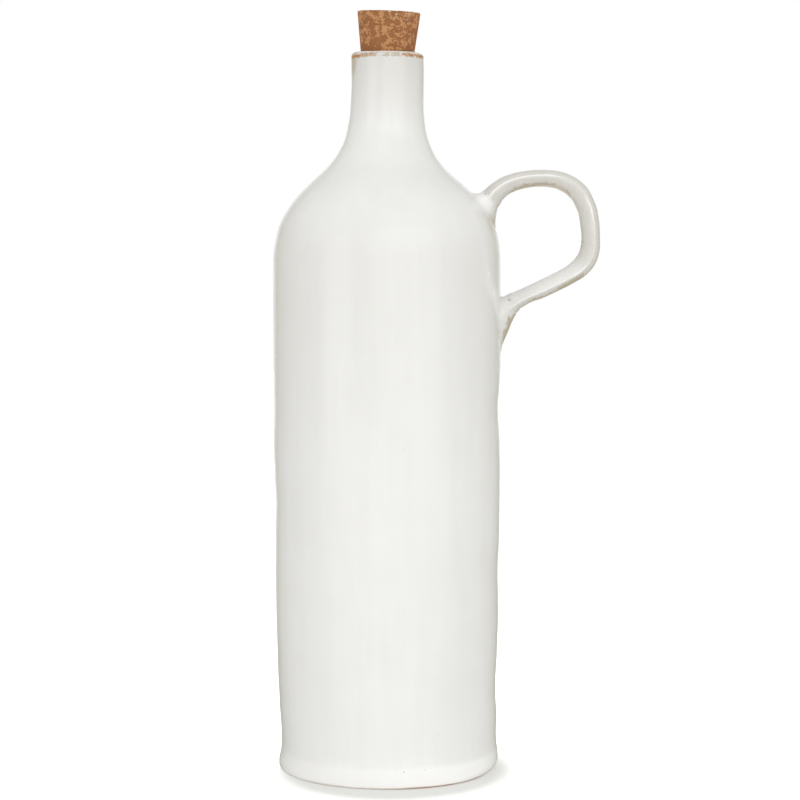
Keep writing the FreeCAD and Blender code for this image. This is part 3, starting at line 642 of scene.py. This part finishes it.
# Pinholes in the two joints and near the foot: place and radius in mm, and strength. They
# run deeper from front to back than they are wide.
PIN_DEPTH = 0.35
flat = stretch(g, here, (1, PIN_DEPTH, 1))
for x, y, z, size, strength in (
    (48.5, -7.2, 188.5, 1.02, 1.0), (38.7, -8.0, 230.6, 1.0, 0.5), (43.3, -7.0, 222.6, 0.6, 0.5),
    (6.3, -43.9, 6.9, 0.42, 0.75), (14.4, -41.9, 7.4, 0.36, 0.5), (17.4, -40.3, 19.3, 0.5, 0.2),
    (10.2, -43.1, 7.2, 0.3, 0.3), (-21.0, -38.8, 8.6, 0.35, 0.3), (19.6, -39.3, 20.4, 0.4, 0.17),
):
    gap = vector_calc(g, "DISTANCE", flat, (x, y * PIN_DEPTH, z)).outputs["Value"]
    tan_patches = calc(g, "MAXIMUM", tan_patches, ramp(g, gap, size, size * 0.55, 0, strength))
# Painted shade under the collar, in the thin glaze's tan, fading out softly
gap = vector_calc(g, "DISTANCE", flat, (42.0, -9 * PIN_DEPTH, 217.6)).outputs["Value"]
from_collar = calc(g, "ADD", gap, calc(g, "MULTIPLY", broken_edge, 1.5))
tan_patches = calc(g, "MAXIMUM", tan_patches, ramp(g, from_collar, 5.4, 0.8, 0, 0.42))
# A tan strip down the left of the neck, under the lip
strip_edge = calc(g, "ADD", across, ramp(g, height, 275, 283.5, 13.6, 11.9, False))
strip_edge = calc(g, "ADD", strip_edge, calc(g, "MULTIPLY", broken_edge, 2.4))
strip_end = calc(g, "ADD", height, calc(g, "MULTIPLY", broken_edge, 6))
strip = calc(g, "MULTIPLY", ramp(g, strip_edge, 0.6, -0.8), ramp(g, strip_end, 273.5, 279))
strip = calc(g, "MULTIPLY", strip, ramp(g, broken_edge, -0.3, 0.2, 0.5, 1.0))
tan_patches = calc(g, "MAXIMUM", tan_patches, strip)
# Tan where the glaze ran thin and in the pinholes and the strip, and painted shade under the
# collar in the same tan
colour = tint(g, tan_patches, body_colour, (0.575, 0.508, 0.400, 1))
colour = tint(g, lip_tan, colour, (0.53, 0.465, 0.362, 1))
colour = tint(g, lip_rust, colour, (0.52, 0.215, 0.085, 1))

# Two short painted highlights on the front of the wall, beside the lower joint, where the
# smoothed clay catches the light: place, lean from upright and half length in mm
on_front = ramp(g, from_front, -5, -10, 0, 0.55)
for x, z, lean, half in ((39.5, 198.4, 0.0, 1.5), (41.7, 191.0, 0.285, 2.2)):
    from_middle = vector_calc(g, "SUBTRACT", here, (x, 0, z)).outputs[0]
    upright = math.sqrt(1 - lean * lean)
    aside, along = (
        vector_calc(g, "DOT_PRODUCT", from_middle, way).outputs["Value"]
        for way in ((upright, 0, lean), (-lean, 0, upright))
    )
    near = ramp(g, calc(g, "ABSOLUTE", aside), 0.45, 0.1)
    near = calc(g, "MULTIPLY", near, ramp(g, calc(g, "ABSOLUTE", along), half, half * 0.5))
    colour = tint(g, calc(g, "MULTIPLY", near, on_front), colour, (0.97, 0.965, 0.94, 1))

# Iron specks, more of them near the foot
speck_field = add_node(g, "ShaderNodeTexVoronoi", feature="F1")
feed(g, here, speck_field, "Vector")
speck_field.inputs["Scale"].default_value = 0.16
speck_chance = add_node(g, "ShaderNodeSeparateColor")
feed(g, speck_field.outputs["Color"], speck_chance, 0)
rare = ramp(g, speck_chance.outputs[0], 0.86, 1.0)
speck_radius = calc(g, "MULTIPLY", rare, ramp(g, height, 40, 0, 0.035, 0.07))
speck = calc(g, "LESS_THAN", speck_field.outputs["Distance"], speck_radius)
colour = tint(g, calc(g, "MULTIPLY", speck, 0.55), colour, (0.30, 0.20, 0.12, 1))

# Bare clay: a warm brown line under the glaze's edge and the pale fired foot ring
foot_edge = calc(g, "ADD", height, spread(g, cloud(g, here, 0.08, 2.0), -0.25, 0.25))
from_middle = calc(g, "ABSOLUTE", calc(g, "ADD", across, -2.0))
foot_line = calc(g, "MULTIPLY", ramp(g, foot_edge, 0.85, 0.55), ramp(g, from_middle, 38, 33))
foot_line = calc(g, "MULTIPLY", foot_line, ramp(g, across, -12, 12, 0.35, 1))
clay_grain = cloud(g, here, 1.6, 4.0, 0.7)
clay_colour = tint(g, clay_grain, (0.44, 0.30, 0.19, 1), (0.60, 0.47, 0.35, 1))
bare_all = calc(g, "MAXIMUM", bare_here, foot_line)
feed(g, tint(g, bare_all, colour, clay_colour), shader, "Base Color")

# Gloss: higher on the strap's faces, lower on the tan patches, the painted shade under the collar
# among them, and the clay is dull
gloss = spread(g, cloud(g, here, 0.12, 3.0, 0.6), 0.17, 0.25)
gloss = calc(g, "SUBTRACT", gloss, calc(g, "MULTIPLY", face_shade_here, 0.07))
gloss = calc(g, "ADD", gloss, calc(g, "MULTIPLY", tan_patches, 0.1))
rough = add_node(g, "ShaderNodeMix", data_type="FLOAT")
feed(g, bare_all, rough, "Factor")
feed(g, gloss, rough, 2)
feed(g, 0.8, rough, 3)
feed(g, rough.outputs[0], shader, "Roughness")

# Relief: soft orange peel, throwing marks under the glaze and grain on the bare clay
peel = cloud(g, here, 0.5, 2.0, 0.5)
rings = cloud(g, stretch(g, here, (0.02, 0.02, 1)), 0.14, 2.0, 0.5)
relief = calc(g, "ADD", calc(g, "MULTIPLY", peel, 0.05), calc(g, "MULTIPLY", rings, 0.18))
bare_grain = calc(g, "MULTIPLY", calc(g, "MULTIPLY", clay_grain, bare_all), 0.3)
relief = calc(g, "ADD", relief, bare_grain)
feed(g, bump_from(g, relief, 0.6, 0.001), shader, "Normal")
bottle.data.materials.append(glaze)
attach(bottle, "bottle")
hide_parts("bottle")

# Cork stopper: granules of cork pressed into a tapered plug and ground, a little chipped at
# its edges. It stands loosely in the mouth and leans a few degrees.
CORK_FOOT, CORK_HEAD, CORK_LENGTH = 9.38 * MM, 12.6 * MM, 27 * MM
bpy.ops.object.select_all(action="DESELECT")
bpy.ops.mesh.primitive_cone_add(
    vertices=96, radius1=CORK_FOOT, radius2=CORK_HEAD, depth=CORK_LENGTH,
    end_fill_type="NGON", location=(0, 0, 4.3 * MM),
)
cork = bpy.context.object
cork.name = "pressed_cork"
bpy.ops.object.transform_apply(location=True, rotation=True, scale=True)
bpy.ops.object.mode_set(mode="EDIT")
# Both round edges are bevelled, and the side and the ends are divided for the hollows
mesh = bmesh.from_edit_mesh(cork.data)
for e in mesh.edges:
    e.select = abs(e.verts[0].co.z - e.verts[1].co.z) < 1e-6 and len(e.link_faces) == 2
bmesh.update_edit_mesh(cork.data)
bpy.ops.mesh.bevel(offset=0.45 * MM, segments=4, affect="EDGES")
mesh = bmesh.from_edit_mesh(cork.data)
for e in mesh.edges:
    e.select = abs(e.verts[0].co.z - e.verts[1].co.z) > 15 * MM
bmesh.update_edit_mesh(cork.data)
bpy.ops.mesh.subdivide(number_cuts=34)
for end in (1, -1):
    mesh = bmesh.from_edit_mesh(cork.data)
    for f in mesh.faces:
        f.select = len(f.verts) > 8 and f.normal.z * end > 0.9
    bmesh.update_edit_mesh(cork.data)
    for ring_step in (0.9, 1.1, 1.4, 1.7, 2.0):
        bpy.ops.mesh.inset(thickness=ring_step * MM)
    bpy.ops.mesh.poke()
bpy.ops.mesh.select_all(action="SELECT")
bpy.ops.mesh.normals_make_consistent(inside=False)
bpy.ops.object.mode_set(mode="OBJECT")
# Ground surface: shallow hollows between the granules and small chips along the upper edge
for v in cork.data.vertices:
    p, n = v.co / MM, v.normal.copy()
    dent = 0.10 * max(noise.noise(p * 0.9) + 0.1, 0) + 0.22 * max(noise.noise(p * 0.55) - 0.18, 0)
    edge = between(1.3, 0, 17.8 - p.z) * between(11.2, 12.2, math.hypot(p.x, p.y))
    chip = 1.1 * edge * max(noise.noise(p * 0.42 + Vector((3, 8, 1))) - 0.05, 0)
    v.co = (p - n * (dent + chip)) * MM
LEAN_TO_FRONT, LEAN_TO_RIGHT = math.radians(3.6), math.radians(2.1)
cork.rotation_euler = (LEAN_TO_FRONT, LEAN_TO_RIGHT, 0)
cork.location = (-0.046 * MM, 0.079 * MM, 284.78 * MM)
bpy.ops.object.transform_apply(location=True, rotation=True, scale=True)
bpy.ops.object.shade_smooth()

cork_finish, c, shader = new_finish("pressed_cork")
here = in_mm(c)
across, _, height = split(c, here)
# Each crumb takes the light or the dark tone as a whole
crumbs = add_node(c, "ShaderNodeTexVoronoi", feature="F1")
feed(c, here, crumbs, "Vector")
crumbs.inputs["Scale"].default_value = 1.9
crumb_at = crumbs.outputs["Position"]
lighter_above = ramp(c, height, 288, 302, -0.01, 0.03, False)
patch = calc(c, "ADD", cloud(c, crumb_at, 0.42, 4.0, 0.72), lighter_above)
light_patch = calc(c, "GREATER_THAN", patch, 0.53)
shade = cloud(c, here, 2.2, 3.0, 0.6)
dark_cork = tint(c, shade, (0.29, 0.115, 0.043, 1), (0.375, 0.168, 0.073, 1))
pale_cork = tint(c, shade, (0.47, 0.222, 0.096, 1), (0.60, 0.315, 0.148, 1))
cork_colour = tint(c, light_patch, dark_cork, pale_cork)
# A few pale scratches and chips near the top, right of the middle
scratch = calc(c, "ABSOLUTE", calc(c, "SUBTRACT", cloud(c, here, 0.55, 1.0, 0.5), 0.5))
broken = calc(c, "GREATER_THAN", cloud(c, crumb_at, 0.8, 2.0, 0.6), 0.545)
near_top = calc(c, "MULTIPLY", ramp(c, height, 296.5, 297.5), ramp(c, across, -1, 1))
near_top = calc(c, "MULTIPLY", near_top, ramp(c, across, 9.5, 8.5))
pale_speck = calc(c, "MULTIPLY", calc(c, "LESS_THAN", scratch, 0.02), broken)
pale_speck = calc(c, "MULTIPLY", pale_speck, near_top)
cork_colour = tint(c, pale_speck, cork_colour, (0.62, 0.58, 0.46, 1))
feed(c, cork_colour, shader, "Base Color")
shader.inputs["Roughness"].default_value = 0.85
shader.inputs["Specular IOR Level"].default_value = 0.12
gaps = add_node(c, "ShaderNodeTexVoronoi", feature="DISTANCE_TO_EDGE")
feed(c, here, gaps, "Vector")
gaps.inputs["Scale"].default_value = 0.6
crumb_height = ramp(c, gaps.outputs["Distance"], 0, 0.12, 0, 0.25)
cork_relief = calc(c, "ADD", crumb_height, calc(c, "MULTIPLY", shade, 0.25))
feed(c, bump_from(c, cork_relief, 0.5, 0.0006), shader, "Normal")
cork.data.materials.append(cork_finish)
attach(cork, "stopper")
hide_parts("cork_stopper")

# Studio: a white floor and surroundings, one broad soft lamp in front on the right and a
# weak one on the left. The floor shows the bottle's own soft shadow and is plain white
# further away.
bpy.ops.object.select_all(action="DESELECT")
bpy.ops.mesh.primitive_plane_add(size=8, location=(0, 0, 0))
floor = bpy.context.object
floor.name = "floor"
floor_paint, f, shader = new_finish("floor_paint")
shader.inputs["Roughness"].default_value = 0.9
shader.inputs["Specular IOR Level"].default_value = 0.0
ray = add_node(f, "ShaderNodeLightPath").outputs
# To the camera the floor is a darker, warmer grey than to bounced light, deepening the bottle's
# shadow as painted shade. In the glaze's reflections it is dark olive: a painted dark reflection
# that darkens the glaze's edges.
seen = tint(f, ray["Is Camera Ray"], (0.8, 0.8, 0.8, 1), (0.66, 0.66, 0.635, 1))
feed(f, tint(f, ray["Is Glossy Ray"], seen, (0.25, 0.23, 0.11, 1)), shader, "Base Color")
aside, back, _ = split(f, add_node(f, "ShaderNodeTexCoord").outputs["Object"])
# The shadow is an oval round the foot, in metres, set off its middle by the given shares of
# its half axes. It lies a touch askew, further back on the handle's side.
OVAL_ASIDE, OVAL_BACK, OVAL_MIDDLE = 0.0493, 0.0548, (-0.062, 0.182, 0)
askew = add_node(f, "ShaderNodeCombineXYZ")
feed(f, aside, askew, "X")
feed(f, calc(f, "SUBTRACT", back, calc(f, "MULTIPLY", aside, 0.06)), askew, "Y")
in_oval = stretch(f, askew.outputs[0], (1 / OVAL_ASIDE, 1 / OVAL_BACK, 1), OVAL_MIDDLE)
spot = vector_calc(f, "LENGTH", in_oval).outputs["Value"]
away = ramp(f, spot, 0.80, 1.16, 0.19, 1.0)
# The glaze mirrors the bright sweep behind the bottle, which widens with distance, and a
# weaker one in front of it
to_side = calc(
    f, "MAXIMUM", calc(f, "MULTIPLY", aside, 2.7), calc(f, "MULTIPLY", aside, -2.2)
)
at_back = ramp(f, calc(f, "SUBTRACT", back, to_side), 0.0, 0.08)
off_centre = calc(f, "MULTIPLY", calc(f, "ABSOLUTE", aside), 0.4)
in_front = ramp(f, calc(f, "ADD", back, off_centre), -0.02, -0.12, 0, 0.75)
sweep = calc(f, "MAXIMUM", at_back, in_front)
# Near the foot the floor glows to diffuse rays: a painted fill light that lifts the shade at the
# foot's edge and on the lower wall
foot_fill_glow = ramp(f, spot, 1.2, 0.95, 0.1, 0.2)
glow = calc(
    f, "ADD", calc(f, "MULTIPLY", ray["Is Camera Ray"], away),
    calc(f, "MULTIPLY", ray["Is Glossy Ray"], sweep),
)
glow = calc(f, "ADD", glow, calc(f, "MULTIPLY", ray["Is Diffuse Ray"], foot_fill_glow))
feed(f, glow, shader, "Emission Strength")
shader.inputs["Emission Color"].default_value = (1, 1, 1, 1)
floor.data.materials.append(floor_paint)

world = bpy.data.worlds.new("studio")
bpy.context.scene.world = world
world.use_nodes = True
w = world.node_tree
sky = w.nodes["Background"]
ray = add_node(w, "ShaderNodeLightPath").outputs
_, back, up = split(w, add_node(w, "ShaderNodeTexCoord").outputs["Generated"])
# Glossy rays see the white sweep straight behind the bottle, and the dim room to its sides
behind = ramp(w, back, 0.86, 0.95)
above = ramp(w, up, 0.1, 0.6)
room = tint(w, above, (0.22, 0.187, 0.04, 1), (0.5, 0.49, 0.45, 1))
room = tint(w, behind, room, (1, 1, 1, 1))
overhead = tint(w, above, (0.62, 0.62, 0.62, 1), (0.80, 0.80, 0.80, 1))
light = tint(w, ray["Is Glossy Ray"], overhead, room)
light = tint(w, ray["Is Camera Ray"], light, (1, 1, 1, 1))
feed(w, light, sky, "Color")
sky.inputs["Strength"].default_value = 1.0


def soft_lamp(name, place, aim, width, height, watts):
    bpy.ops.object.light_add(type="AREA", location=place)
    lamp = bpy.context.object
    lamp.name = name
    lamp.data.shape = "RECTANGLE"
    lamp.data.size, lamp.data.size_y = width, height
    lamp.data.energy = watts
    lamp.rotation_euler = (Vector(aim) - Vector(place)).to_track_quat("-Z", "Y").to_euler()


soft_lamp("front_softbox", (0.6, -1.6, 0.46), (0, 0, 0.12), 2.4, 2.0, 13.8)
soft_lamp("left_fill", (-1.2, -1.0, 0.35), (0, 0, 0.1), 0.8, 1.2, 3.0)

bpy.context.scene.view_settings.view_transform = "Standard"
